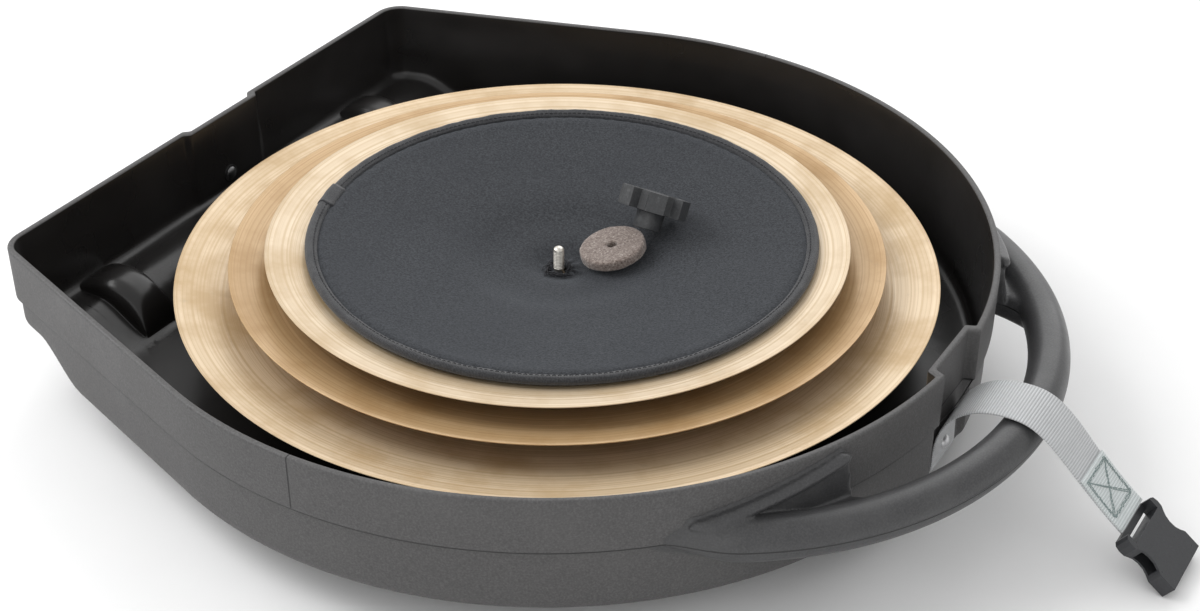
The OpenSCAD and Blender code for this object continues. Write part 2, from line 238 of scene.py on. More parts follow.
# ---------- materials ----------

class Shader:
    """A node material, with short calls for its nodes."""

    def __init__(self, name, **settings):
        self.material = bpy.data.materials.new(name)
        self.material.use_nodes = True
        self.tree = self.material.node_tree
        self.bsdf = self.tree.nodes["Principled BSDF"]
        for key, value in settings.items():
            self.bsdf.inputs[key.replace("_", " ")].default_value = value
        self.place = self.node("ShaderNodeTexCoord").outputs["Object"]

    def node(self, kind, inputs=None, **settings):
        made = self.tree.nodes.new(kind)
        for key, value in settings.items():
            setattr(made, key, value)
        for key, value in (inputs or {}).items():
            socket = made.inputs[key]
            if isinstance(value, bpy.types.NodeSocket):
                self.tree.links.new(value, socket)
            else:
                socket.default_value = value
        return made

    def noise(self, size, detail=3.0, rough=0.55):
        """Noise whose features are size millimetres across."""
        return self.node("ShaderNodeTexNoise", {
            "Vector": self.place, "Scale": 1000.0 / size, "Detail": detail, "Roughness": rough
        }).outputs["Fac"]

    def rings(self, radius, per_metre):
        """Noise that only changes with the radius, so that it draws rings."""
        return self.node("ShaderNodeTexNoise", {
            "W": self.math("MULTIPLY", radius, per_metre), "Scale": 1.0, "Detail": 3.0
        }, noise_dimensions="1D").outputs["Fac"]

    def vector(self, operation, a, b=(0.0, 0.0, 0.0)):
        return self.node("ShaderNodeVectorMath", {0: a, 1: b}, operation=operation)

    def math(self, operation, a, b=0.0):
        return self.node("ShaderNodeMath", {0: a, 1: b}, operation=operation).outputs[0]

    def wave(self, value, pitch):
        """0 to 1 and back once in every pitch millimetres."""
        turns = self.math("MULTIPLY", value, 6283.0 / pitch)
        return self.span(self.math("SINE", turns), -1.0, 1.0)

    def span(self, value, low, high, to_low=0.0, to_high=1.0):
        return self.node("ShaderNodeMapRange", {
            "Value": value, "From Min": low, "From Max": high, "To Min": to_low, "To Max": to_high
        }).outputs[0]

    def ramp(self, value, stops):
        made = self.node("ShaderNodeValToRGB", {"Fac": value})
        points = made.color_ramp.elements
        while len(points) < len(stops):
            points.new(0.5)
        for point, (at, color) in zip(points, stops):
            point.position = at
            point.color = (*color, 1.0)
        return made.outputs["Color"]

    def mix(self, factor, a, b, blend="MIX"):
        made = self.node("ShaderNodeMix", data_type="RGBA", blend_type=blend)
        for index, value in ((0, factor), (6, a), (7, b)):
            if isinstance(value, bpy.types.NodeSocket):
                self.tree.links.new(value, made.inputs[index])
            else:
                made.inputs[index].default_value = value if index == 0 else (*value, 1.0)
        return made.outputs[2]

    def axis(self, name):
        return self.node("ShaderNodeSeparateXYZ", {0: self.place}).outputs[name]

    def radius(self):
        """Distance from the Z axis, in metres."""
        flat = self.vector("MULTIPLY", self.place, (1.0, 1.0, 0.0))
        return self.vector("LENGTH", flat.outputs[0]).outputs["Value"]

    def near(self, value, centre, full, none):
        """1 within full millimetres of the centre, falling to 0 at none."""
        off = self.math("ABSOLUTE", self.math("SUBTRACT", value, centre * MM))
        return self.span(off, full * MM, none * MM, 1.0, 0.0)

    def color(self, value):
        self.tree.links.new(value, self.bsdf.inputs["Base Color"])

    def rough(self, value):
        self.tree.links.new(value, self.bsdf.inputs["Roughness"])

    def bump(self, height, depth, strength=1.0):
        """Bump of depth millimetres for a height that runs from 0 to 1."""
        last = self.bsdf.inputs["Normal"].links
        inputs = {"Height": height, "Distance": depth * MM, "Strength": strength}
        if last:
            inputs["Normal"] = last[0].from_socket
        made = self.node("ShaderNodeBump", inputs)
        self.tree.links.new(made.outputs[0], self.bsdf.inputs["Normal"])


def outer_plastic():
    """Dull charcoal moulding with a fine mottled grain and paler scuffs."""
    s = Shader("outer_plastic", Roughness=0.55, Specular_IOR_Level=0.5)
    grain = s.noise(1.3, 2.0)
    cloud = s.noise(60, 3.0)
    greys = [(0.3, (0.052, 0.05, 0.05)), (0.5, (0.068, 0.066, 0.066)), (0.72, (0.092, 0.09, 0.09))]
    tone = s.ramp(grain, greys)
    dusty = s.mix(s.span(cloud, 0.45, 0.75, 0.0, 0.35), tone, (0.11, 0.108, 0.106))
    scuffs = s.noise(9, 5.0, 0.7)
    worn = s.mix(s.span(scuffs, 0.66, 0.74, 0.0, 0.4), dusty, (0.16, 0.16, 0.158))
    # Dark line along the lower edge of the proud band: partly the band's split line, partly painted shade
    # under the band's overhang.
    split_line_and_shade = s.near(s.axis("Z"), BAND_Z + 0.9, 0.35, 0.8)
    seam = s.math("MULTIPLY", s.near(s.axis("X"), 5.5, 0.2, 0.6), s.span(s.axis("Z"), 0.0765, 0.0775))
    line = s.math("MAXIMUM", split_line_and_shade, seam)
    s.color(s.mix(line, worn, (0.012, 0.012, 0.012)))
    s.rough(s.span(cloud, 0.3, 0.7, 0.5, 0.64))
    s.bump(line, -0.5)
    s.bump(grain, 0.12)
    s.bump(s.noise(14, 2.0), 0.25)
    return s.material


def handle_plastic():
    """The same moulding, polished a little by hands, with the mould's parting line along its outer side."""
    s = Shader("handle_plastic", Roughness=0.45, Specular_IOR_Level=0.5)
    grain = s.noise(1.2, 2.0)
    cloud = s.noise(45, 3.0)
    greys = [(0.3, (0.034, 0.034, 0.035)), (0.5, (0.044, 0.044, 0.046)), (0.72, (0.06, 0.06, 0.061))]
    tone = s.ramp(grain, greys)
    worn = s.mix(s.span(cloud, 0.5, 0.72, 0.0, 0.4), tone, (0.08, 0.08, 0.08))
    line = s.near(s.axis("Z"), BAND_Z, 0.2, 0.6)
    s.color(s.mix(line, worn, (0.012, 0.012, 0.012)))
    s.rough(s.span(cloud, 0.3, 0.7, 0.34, 0.48))
    s.bump(grain, 0.07)
    s.bump(s.noise(20, 2.0), 0.3)
    s.bump(line, -0.4)
    return s.material


def inner_plastic():
    """Glossy black inside of the moulding, with faint drag marks."""
    s = Shader("inner_plastic", Roughness=0.3, Specular_IOR_Level=0.45)
    cloud = s.noise(90, 3.0)
    specks = s.noise(2.2, 1.0)
    base = s.mix(s.span(cloud, 0.4, 0.7), (0.0125, 0.0115, 0.011), (0.019, 0.0175, 0.017))
    s.color(s.mix(s.span(specks, 0.8, 0.84, 0.0, 0.5), base, (0.08, 0.08, 0.08)))
    s.rough(s.span(cloud, 0.3, 0.7, 0.24, 0.38))
    s.bump(s.noise(34, 2.0), 0.35)
    s.bump(s.noise(3, 2.0), 0.03)
    return s.material


def shaded(color, factors):
    return tuple(c * f for c, f in zip(color, factors))


def bronze(name, tint, seed):
    """Lathed bronze: fine rings cut by the tool, broader bands, brown patches and small dark specks."""
    s = Shader(name, Metallic=0.24, Roughness=0.4, Anisotropic=0.35, Specular_IOR_Level=0.5)
    tangent = s.node("ShaderNodeTangent", direction_type="RADIAL", axis="Z")
    s.tree.links.new(tangent.outputs[0], s.bsdf.inputs["Tangent"])
    r = s.radius()
    fine = s.rings(r, 520.0)
    broad = s.rings(r, 130.0)
    patina = s.noise(48 + seed, 5.0, 0.6)
    blotch = s.noise(13, 4.0, 0.65)
    specks = s.noise(2.3, 2.0)
    dull = shaded(tint, (0.8, 0.76, 0.68))
    tone = s.mix(s.span(broad, 0.25, 0.75, 0.45, 1.0), dull, tint)
    brown = shaded(tint, (0.64, 0.54, 0.38))
    aged = s.mix(s.span(patina, 0.44, 0.68, 0.0, 0.75), tone, brown)
    spotted = s.mix(s.span(blotch, 0.62, 0.74, 0.0, 0.3), aged, shaded(tint, (0.6, 0.6, 0.6)))
    dotted = s.mix(s.span(specks, 0.79, 0.83, 0.0, 0.5), spotted, (0.16, 0.1, 0.05))
    s.color(s.mix(s.span(fine, 0.4, 0.53, 0.5, 0.0), dotted, brown))
    s.rough(s.math("ADD", s.span(patina, 0.35, 0.75, 0.32, 0.46), s.span(fine, 0.3, 0.7, -0.04, 0.06)))
    s.bump(fine, 0.1)
    s.bump(broad, 0.1)
    s.bump(s.noise(70, 2.0), 0.4)
    return s.material


def pad_fabric():
    """Tight dark blue-grey weave: two crossed thread waves with fuzz over them."""
    s = Shader("pad_fabric", Roughness=0.88, Specular_IOR_Level=0.2, Sheen_Weight=0.2, Sheen_Roughness=0.4)
    s.bsdf.inputs["Sheen Tint"].default_value = (0.6, 0.65, 0.72, 1.0)
    turns = 6283.0 / 1.1
    x = s.math("SINE", s.math("MULTIPLY", s.axis("X"), turns))
    y = s.math("SINE", s.math("MULTIPLY", s.axis("Y"), turns))
    weave = s.span(s.math("MULTIPLY", x, y), -1.0, 1.0)
    fuzz = s.noise(1.5, 3.0, 0.65)
    cloud = s.noise(70, 3.0)
    threads = s.mix(weave, (0.015, 0.016, 0.0185), (0.026, 0.028, 0.031))
    fuzzy = s.mix(s.span(fuzz, 0.36, 0.66), threads, (0.054, 0.057, 0.063))
    s.color(s.mix(s.span(cloud, 0.4, 0.7, 0.0, 0.3), fuzzy, (0.03, 0.032, 0.037)))
    s.bump(weave, 0.18)
    s.bump(fuzz, 0.2)
    return s.material


def binding_fabric():
    """Ribbed edge tape."""
    s = Shader("binding_fabric", Roughness=0.8, Specular_IOR_Level=0.3, Sheen_Weight=0.25)
    angle = s.node("ShaderNodeMath", {0: s.axis("Y"), 1: s.axis("X")}, operation="ARCTAN2").outputs[0]
    rib = s.span(s.math("SINE", s.math("MULTIPLY", angle, 1100.0)), -1.0, 1.0)
    fuzz = s.noise(1.1, 3.0)
    tape = s.mix(rib, (0.012, 0.012, 0.014), (0.026, 0.027, 0.03))
    s.color(s.mix(s.span(fuzz, 0.4, 0.7, 0.0, 0.8), tape, (0.05, 0.051, 0.055)))
    s.bump(rib, 0.15)
    s.bump(fuzz, 0.15)
    return s.material


def thread_fabric(name, dark, light):
    s = Shader(name, Roughness=0.85)
    fuzz = s.noise(0.8, 2.0)
    s.color(s.mix(fuzz, dark, light))
    s.bump(fuzz, 0.1)
    return s.material


def felt_fabric():
    """Pressed wool: pale and dark fibres on brown-grey."""
    s = Shader("felt_fabric", Roughness=0.95, Specular_IOR_Level=0.15, Sheen_Weight=0.3)
    fibre = s.noise(1.6, 6.0, 0.75)
    clump = s.noise(5.0, 3.0)
    browns = [(0.34, (0.06, 0.045, 0.038)), (0.47, (0.19, 0.15, 0.13)),
              (0.56, (0.27, 0.225, 0.2)), (0.68, (0.5, 0.45, 0.41))]
    tone = s.ramp(fibre, browns)
    s.color(s.mix(s.span(clump, 0.4, 0.7, 0.0, 0.5), tone, (0.17, 0.13, 0.115)))
    s.bump(fibre, 0.5)
    s.bump(clump, 0.4)
    return s.material


def small_plastic(name, colors, grain, scuffs, scuffed_from, dull, depth):
    """Smooth dark plastic with paler scuffs: grain and scuffs are noises, dull the ends of its roughness."""
    s = Shader(name, Specular_IOR_Level=0.5)
    fine = s.noise(*grain)
    marks = s.noise(*scuffs)
    base = s.mix(s.span(fine, 0.3, 0.7), colors[0], colors[1])
    s.color(s.mix(s.span(marks, *scuffed_from, 0.0, 0.5), base, colors[2]))
    s.rough(s.span(marks, 0.3, 0.7, *dull))
    s.bump(fine, depth)
    return s.material


def webbing(name, light, dark):
    """Ribbed webbing. The mesh's UV is in metres: across, then along."""
    s = Shader(name, Roughness=0.6, Specular_IOR_Level=0.45, Sheen_Weight=0.2)
    uv = s.node("ShaderNodeUVMap", uv_map="weave").outputs[0]
    parts = s.node("ShaderNodeSeparateXYZ", {0: uv})
    rib = s.wave(parts.outputs[1], 1.9)
    warp = s.wave(parts.outputs[0], 1.3)
    cloud = s.noise(16, 4.0)
    fuzz = s.noise(0.9, 2.0)
    tone = s.mix(rib, dark, light)
    crossed = s.mix(s.math("MULTIPLY", warp, 0.25), tone, dark)
    soiled = s.mix(s.span(cloud, 0.45, 0.75, 0.0, 0.35), crossed, shaded(light, (0.62, 0.62, 0.62)))
    s.color(s.mix(s.span(fuzz, 0.5, 0.8, 0.0, 0.3), soiled, light))
    s.bump(rib, 0.35)
    s.bump(warp, 0.1)
    s.bump(fuzz, 0.1)
    return s.material


def metal(name, tint, rough):
    s = Shader(name, Metallic=1.0, Roughness=rough)
    smear = s.noise(3, 4.0, 0.65)
    s.color(s.mix(s.span(smear, 0.35, 0.7), shaded(tint, (0.75, 0.75, 0.75)), tint))
    s.rough(s.span(smear, 0.3, 0.7, rough - 0.08, rough + 0.12))
    s.bump(s.noise(1.0, 2.0), 0.02)
    return s.material


def rubber():
    s = Shader("tyre_rubber", Roughness=0.75, Specular_IOR_Level=0.35)
    dust = s.noise(6, 4.0, 0.65)
    s.color(s.mix(s.span(dust, 0.45, 0.75), (0.015, 0.015, 0.015), (0.07, 0.068, 0.064)))
    s.bump(s.noise(1.2, 3.0), 0.08)
    return s.material


def foam():
    s = Shader("black_foam", Roughness=0.95, Specular_IOR_Level=0.2)
    cells = s.noise(1.5, 3.0)
    s.color(s.mix(cells, (0.01, 0.01, 0.011), (0.04, 0.04, 0.043)))
    s.bump(cells, 0.4)
    return s.material


OUTER = outer_plastic()
HANDLE = handle_plastic()
INNER = inner_plastic()
PAD = pad_fabric()
BINDING = binding_fabric()
THREAD = thread_fabric("black_thread", (0.008, 0.008, 0.01), (0.035, 0.035, 0.04))
STITCH = thread_fabric("green_thread", (0.14, 0.19, 0.19), (0.34, 0.4, 0.39))
FELT = felt_fabric()
KNOB = small_plastic("knob_plastic", [(0.036, 0.037, 0.039), (0.056, 0.058, 0.061), (0.12, 0.122, 0.125)],
                     (1.5, 3.0), (7, 5.0, 0.7), (0.6, 0.7), (0.3, 0.5), 0.04)
BUCKLE = small_plastic("buckle_plastic", [(0.02, 0.021, 0.024), (0.03, 0.031, 0.034), (0.09, 0.09, 0.095)],
                       (1.0, 2.0), (5, 4.0, 0.7), (0.64, 0.72), (0.27, 0.45), 0.03)
WEBBING = webbing("webbing_grey", (0.6, 0.61, 0.62), (0.36, 0.37, 0.375))
STITCHED = webbing("webbing_stitched", (0.66, 0.7, 0.7), (0.45, 0.49, 0.49))
STEEL = metal("zinc_steel", (0.6, 0.6, 0.61), 0.35)
DARK_STEEL = metal("dark_steel", (0.2, 0.2, 0.2), 0.4)
STUD = metal("stud_steel", (0.74, 0.71, 0.65), 0.32)
BRASS = metal("turned_brass", (0.76, 0.6, 0.32), 0.3)
ALUMINIUM = metal("rivet_aluminium", (0.7, 0.7, 0.71), 0.34)
RUBBER = rubber()
FOAM = foam()


# ---------- case ----------

def plan_stations():
    """Points round the case's plan and their outward normals, from the round side's middle."""
    dx, dy = -(FLAT_X - CORNER_R) - ARC_X, CORNER_Y
    reach = math.hypot(dx, dy)
    turn = math.degrees(math.atan2(dy, dx) - math.acos((ARC_R - CORNER_R) / reach))
    edge = math.degrees(math.asin(RECESS[1] / ARC_R))
    angles = set(np.round(np.linspace(0, turn, 100), 3))
    angles |= set(np.round(np.linspace(edge - 1.3, edge + 1.6, 26), 3))

    def on_circle(cx, cy, r, degrees):
        c, s = math.cos(math.radians(degrees)), math.sin(math.radians(degrees))
        return (cx + r * c, cy + r * s), (c, s)

    half = [on_circle(ARC_X, 0.0, ARC_R, a) for a in sorted(angles)]
    corner = [on_circle(-(FLAT_X - CORNER_R), CORNER_Y, CORNER_R, a) for a in np.linspace(turn, 180, 22)]
    start, end, n = half[-1][0], corner[0][0], corner[0][1]
    half += [((start[0] + (end[0] - start[0]) * t, start[1] + (end[1] - start[1]) * t), n)
             for t in np.linspace(0, 1, 36)[1:-1]]
    half += corner
    ys = set(np.round(np.linspace(CORNER_Y, 0, 40), 3)[1:])
    ys |= set(np.round(np.linspace(REAR_RECESS[1] + 7, REAR_RECESS[1] - 5, 20), 3))
    half += [((-FLAT_X, y), (-1.0, 0.0)) for y in sorted(ys, reverse=True)]
    other = [((p[0], -p[1]), (m[0], -m[1])) for p, m in half[-2:0:-1]]
    both = half + other
    return np.array([p for p, _ in both]), np.array([m for _, m in both])


PLAN, OUTWARD = plan_stations()


def floor_height(x):
    """Height of the underside: raised along the flat side."""
    return UNDER_Z + STEP_H * (1 - smooth((x - STEP_X[0]) / (STEP_X[1] - STEP_X[0])))


def wall_ring(inset, depth):
    """Plan ring at an inset from the case's outline. The recesses in it are depth further in."""
    ring = PLAN - OUTWARD * inset
    x, y = ring[:, 0].copy(), np.abs(ring[:, 1])
    front = smooth((RECESS[1] + depth + 2.2 - y) / 4.4) * (x > 0)
    x += front * (np.minimum(x, RECESS[0] - depth) - x)
    rear = smooth((REAR_RECESS[1] + depth + 3.0 - y) / 6.0) * (x < 0)
    x += rear * (np.maximum(x, depth - REAR_RECESS[0]) - x)
    return np.column_stack([x, ring[:, 1]])


def case_ring(inset, depth, z=None, above_floor=None):
    flat = wall_ring(inset, depth)
    height = np.full(len(flat), z) if z is not None else floor_height(flat[:, 0]) + above_floor
    return np.column_stack([flat, height])


def floor_rings(foot, radius, lift, count):
    """Rings that run over the floor from the foot of the wall to the boss."""
    angle = np.arctan2(foot[:, 1], foot[:, 0])
    boss = level_ring(radius, angle, 0)[:, :2]
    rings = []
    for i in range(1, count + 1):
        flat = foot[:, :2] + (boss - foot[:, :2]) * i / count
        rings.append(np.column_stack([flat, floor_height(flat[:, 0]) + lift]))
    return rings, angle


def rounded_rim(d, radius):
    """Height of a rounded rim at a distance in from its side."""
    return RIM_Z - radius + radius * math.sin(math.acos(1 - d / radius))


def case_body():
    """The moulding as one closed skin, from the middle of its underside to the middle of its inside."""
    outer = [case_ring(d, d, z=rounded_rim(d, 1.6)) for d in (1.6, 1.0, 0.45, 0.1)]
    outer += [case_ring(0, 0, z=z) for z in (RIM_Z - 1.6, 112, 106, 98, 90, 83, 78.4, 76.6)]
    ledge = [(0.12, 75.9), (0.5, 75.3), (1.2, 74.95), (2.1, 74.75), (2.7, 74.45), (3.0, 73.8), (3.0, 72.5)]
    outer += [case_ring(inset, 0, z=z) for inset, z in ledge]
    foot = 12.0
    outer += [case_ring(BAND_PROUD, 0, above_floor=foot + t) for t in (10.8, 5.4, 0.0)]
    outer += [case_ring(BAND_PROUD + foot * c, 0, above_floor=foot * s) for c, s in quarter(10)]
    rings, angle = floor_rings(outer[-1], BOSS_R + 7, 0, 26)
    outer += rings
    boss = [(153, 24.6), (151.2, 23.4), (150, 21), (148, 12), (146.2, 5), (145.4, 2.6), (143.6, 0.9),
            (140.5, 0.1), (136, 0), (90, 0), (40, 0), (4, 0)]
    outer += [level_ring(r, angle, z) for r, z in boss]

    inner = [case_ring(WALL - d, WALL - d, z=rounded_rim(d, 1.4)) for d in (1.4, 0.8, 0.3, 0.05)]
    inner += [case_ring(WALL, WALL, z=z) for z in (RIM_Z - 1.6, 110)]
    inner += [case_ring(WALL + BAND_PROUD * smooth(t), WALL, z=106 - 36 * t) for t in np.linspace(0, 1, 11)]
    inset = WALL + BAND_PROUD
    foot = 8.0
    inner += [case_ring(inset, WALL, above_floor=WALL + foot + t) for t in (8, 4, 0)]
    inner += [case_ring(inset + foot * c, WALL, above_floor=WALL + foot * s) for c, s in quarter(15)]
    rings, angle = floor_rings(inner[-1], BOSS_R, WALL, 26)
    inner += rings
    well = [(146, 28.6), (145, 26), (138.5, 6), (137, 4.6), (134, 4.5), (60, 4.5), (4, 4.5)]
    inner += [level_ring(r, angle, z) for r, z in well]

    vertices, faces = skin(np.array(outer[::-1] + inner))
    first_inside = (len(outer) + 3) * len(PLAN)
    which = [1 if min(face) >= first_inside else 0 for face in faces]
    obj = make_mesh("case_body", vertices, faces, [OUTER, INNER], which)
    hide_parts("case_shell")
    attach(obj, "case")


def wheel_arches():
    """Humps in the case floor over the wheels, each a raised patch that fades into the floor."""
    top_r = 39.0
    half = 18.0
    for side, name in ((1, "left"), (-1, "right")):
        xs = np.linspace(-300, -222, 110)
        ys = np.linspace(-30, 30, 110)
        x, y = np.meshgrid(xs, ys, indexing="ij")
        base = floor_height(x) + WALL
        crown = WHEEL[2] + np.sqrt(np.clip(top_r ** 2 - (x - WHEEL[0]) ** 2, 0, None))
        crown = np.where(np.abs(x - WHEEL[0]) < top_r, crown, 0)
        edge = (1 - np.clip(np.abs(y) / half, 0, 1) ** 3.2) ** 0.45
        hump = (np.maximum(crown, base) - base) * edge
        h = np.clip(0.5 + (hump - 1.2) / 5.0, 0, 1)
        z = base + hump * h + 0.06
        rows, cols = x.shape
        vertices = np.stack([x, y + side * WHEEL[1], z], axis=-1).reshape(-1, 3)
        faces = [(i * cols + j, (i + 1) * cols + j, (i + 1) * cols + j + 1, i * cols + j + 1)
                 for i in range(rows - 1) for j in range(cols - 1)]
        obj = make_mesh("wheel_arch_" + name, vertices, faces, [INNER])
        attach(obj, "case")


# ---------- carry handle ----------

def soft_min(a, b, k):
    h = np.clip(0.5 + 0.5 * (b - a) / k, 0, 1)
    return b + (a - b) * h - k * h * (1 - h)


def soft_max(a, b, k):
    return -soft_min(-a, -b, k)


def surface_net(field, origin, step):
    """Quads of the surface where a sampled field is zero, with one vertex per crossed cell."""
    inside = field < 0
    shape = tuple(n - 1 for n in field.shape)
    total = np.zeros(shape + (3,))
    hits = np.zeros(shape)
    corners = [(i, j, k) for i in (0, 1) for j in (0, 1) for k in (0, 1)]

    def at(array, c):
        return array[c[0]:c[0] + shape[0], c[1]:c[1] + shape[1], c[2]:c[2] + shape[2]]

    for a in corners:
        for axis in range(3):
            if a[axis]:
                continue
            b = tuple(1 if i == axis else a[i] for i in range(3))
            va, vb = at(field, a), at(field, b)
            crossed = at(inside, a) != at(inside, b)
            t = np.where(crossed, va / np.where(crossed, va - vb, 1), 0)
            for i in range(3):
                total[..., i] += crossed * (a[i] + (t if i == axis else 0))
            hits += crossed
    used = hits > 0
    index = np.full(shape, -1)
    index[used] = np.arange(used.sum())
    cell = np.argwhere(used)
    vertices = (cell + total[used] / hits[used][:, None]) * step + np.asarray(origin)
    quads = []
    for axis in range(3):
        b, c = (axis + 1) % 3, (axis + 2) % 3
        lo = [slice(1, -1)] * 3
        lo[axis] = slice(0, -1)
        hi = list(lo)
        hi[axis] = slice(1, None)
        first, second = inside[tuple(lo)], inside[tuple(hi)]
        for cells, flip in ((np.argwhere(first & ~second), False), (np.argwhere(~first & second), True)):
            cells = cells + np.array([0 if i == axis else 1 for i in range(3)])
            around = []
            for db, dc in ((1, 1), (0, 1), (0, 0), (1, 0)):
                q = cells.copy()
                q[:, b] -= db
                q[:, c] -= dc
                around.append(index[q[:, 0], q[:, 1], q[:, 2]])
            around = np.stack(around, axis=1)
            quads.append(around[:, ::-1] if flip else around)
    return vertices, np.concatenate(quads)


def wall_radius(z):
    """Outside radius of the case's round wall at a height."""
    return ARC_R - BAND_PROUD * smooth((BAND_Z + 1.5 - z) / 3.0) + 0.05


def carry_handle():
    """Round grip, its webs and the fillets that run them into the wall, as one surface.

    Each web holds a leaf-shaped pit between the grip and a ridge on the wall, which meet at the pit's tip.
    """
    tip_y, mouth_y = 206.0, 122.0        # the pit's ends, off the handle's middle
    ridge_z, ridge_rise = 87.0, 18.0     # the ridge at the tip, and how far it climbs to the mouth
    ridge_out, ridge_r = 3.4, 4.2        # its centre off the wall, and its radius
    taper_from, taper = 57.0, 0.38       # degrees round the grip, and the share of its radius it loses
    step = 1.4
    origin = np.array([176.0, -232.0, 50.0])
    size = np.array([192.0, 464.0, 68.0])
    axes = [origin[i] + step * np.arange(int(size[i] / step) + 1) for i in range(3)]
    x, y, z = np.meshgrid(*axes, indexing="ij")
    wall = np.hypot(x - ARC_X, y) - wall_radius(z)
    rho = np.hypot(x - GRIP_X, y)
    angle = np.degrees(np.arctan2(np.abs(y), x - GRIP_X))
    thinner = smooth((angle - taper_from) / 11)
    grip = np.hypot(rho - GRIP_ARC_R, z - BAND_Z - 2.0 * thinner) - GRIP_R * (1 - taper * thinner)
    span = np.clip(wall / np.maximum(wall + GRIP_ARC_R - rho, 1.0), 0, 1)
    far = np.abs(y)
    climb = np.clip((tip_y - far) / 79, 0, 1)
    ridge = ridge_z + ridge_rise * climb
    shoulder = smooth((4.5 + 3.0 * climb - wall) / (2.4 + 1.6 * climb))
    valley = BAND_Z + 3 + 5 * span
    top = valley + (ridge - valley) * shoulder
    bottom = BAND_Z - 10 - 3 * smooth((200 - far) / 60)
    slab = soft_max(z - top, bottom - z, 2.0)
    slab = soft_max(slab, rho - GRIP_ARC_R, 2.0)
    mouth = mouth_y - 12 * span ** 2 - far
    slab = soft_max(slab, mouth, 9.0)
    start, end = tip_y + 8, mouth_y - 3
    bead_r = ridge_r * smooth((start - far) / 7) * smooth((far - end) / 9)
    bead = np.hypot(wall - ridge_out, z - ridge - 1.0) - bead_r
    bead = np.where((far < start) & (far > end), bead, 20.0)
    solid = soft_min(grip, slab, 2.0)
    solid = soft_min(solid, wall, 2.6)
    solid = soft_min(solid, bead, 2.2)
    vertices, quads = surface_net(solid, origin, step)
    reach = np.hypot(vertices[:, 0] - ARC_X, vertices[:, 1])
    keep = reach > wall_radius(vertices[:, 2]) + 0.06
    quads = quads[keep[quads].any(axis=1)]
    used = np.unique(quads)
    renumber = np.full(len(vertices), -1)
    renumber[used] = np.arange(len(used))
    obj = make_mesh("grip_and_webs", vertices[used], renumber[quads].tolist(), [HANDLE])
    smoothing = obj.modifiers.new("even", "SMOOTH")
    smoothing.factor = 0.5
    smoothing.iterations = 3
    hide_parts("carry_handle")
    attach(obj, "case")


# ---------- cymbals ----------

def under_z(c, r):
    """Height of a cymbal's lower face: a round bell, then a bow that starts at a slope."""
    radius, bell_r, bell_h, edge, crown = c
    if r < bell_r:
        ball = (bell_r ** 2 + bell_h ** 2) / (2 * bell_h)
        return crown + ball - math.sqrt(ball ** 2 - r * r)
    d = r - bell_r
    run = radius - bell_r
    slope = 0.1
    return crown + bell_h + slope * d + (edge - bell_h - slope * run) * (d / run) ** 2


def over_z(c, r):
    return under_z(c, r) + CYMBAL_T - 0.4 * r / c[0]


def cymbals():
    looks = {
        "cymbal_large": ("large_cymbal", (0.72, 0.575, 0.4), 3),
        "cymbal_middle": ("middle_cymbal", (0.54, 0.37, 0.2), 11),
        "cymbal_small": ("small_cymbal", (0.7, 0.575, 0.42), 19),
    }
    for name, c in CYMBALS.items():
        radii = [5.5 + (c[1] - 5.5) * i / 10 for i in range(10)]
        radii += [c[1] + (c[0] - 0.6 - c[1]) * i / 46 for i in range(47)]
        low = [(r, under_z(c, r) + (0.15 if r > c[0] - 1 else 0)) for r in radii]
        high = [(r, over_z(c, r)) for r in radii]
        middle = (under_z(c, c[0]) + over_z(c, c[0])) / 2
        edge = [(c[0] - 0.15, middle - 0.3), (c[0], middle), (c[0] - 0.15, middle + 0.35)]
        vertices, faces = lathe(low + edge + high[::-1], 220)
        body, tint, seed = looks[name]
        obj = make_mesh(name + "_plate", vertices, faces, [bronze(name + "_bronze", tint, seed)])
        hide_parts(name)
        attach(obj, body)


# ---------- pad ----------

def pad_under(r):
    c = CYMBALS["cymbal_small"]
    lift = 0.9
    if r >= DIP_R:
        return over_z(c, r + PAD_SLIDE) + lift
    centre = c[4] + CYMBAL_T + 0.3
    return centre + (pad_under(DIP_R) - centre) * r / DIP_R


def top_pad():
    """Padded disc: a soft cover that dips to the stud and is drawn down beside its edge tape."""
    radii = [5.2, 5.8, 6.6, 7.8, 9.5, 12, 15, 19, 24] + list(np.arange(30, 166, 6.0))
    radii += [167, 169, 170, 171, 172.5, 174.5, 176.5, 177.8]
    rim = PAD_R - 0.6
    angle = np.linspace(0, 2 * math.pi, 260, endpoint=False)
    top, low = [], []
    for r in radii:
        base = pad_under(r)
        sink = 1.6 * math.exp(-((r - 170.5) / 2.2) ** 2) + 0.5 * smooth((r - 172) / 5)
        lip = 1.1 * math.exp(-((r - 8.5) / 2.0) ** 2) - 1.5 * math.exp(-((r - 15) / 6.0) ** 2)
        crown = 0.9 * smooth((165 - r) / 40) * smooth((r - 40) / 60)
        ease = 3.2 * math.exp(-((r - DIP_R) / 16.0) ** 2)
        ring = level_ring(r, angle, base)
        folds = wobble(ring, 95, 0.45, 0.3) * smooth((168 - r) / 20) * smooth((r - 6) / 12)
        pucker = 0.35 * np.sin(angle * 96 + 1.5 * np.sin(angle * 7)) * math.exp(-((r - 168) / 3.0) ** 2)
        gather = 0.5 * np.sin(angle * 9 + 0.8 * np.sin(angle * 4)) * math.exp(-((r - 10) / 5.0) ** 2)
        ring[:, 2] += PAD_T - sink + lip + crown - ease + folds + pucker + gather
        top.append(ring)
        low.append(level_ring(r, angle, base + 0.1))
    edge = level_ring(rim, angle, pad_under(rim) + 2.4)
    stack = np.array(low + [edge] + top[::-1])
    vertices, faces = skin(stack, closed=True)
    vertices = vertices + np.array([PAD_AT[0], PAD_AT[1], 0.0])
    obj = make_mesh("pad_cover", vertices, faces, [PAD])
    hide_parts("top_pad")
    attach(obj, "pad")


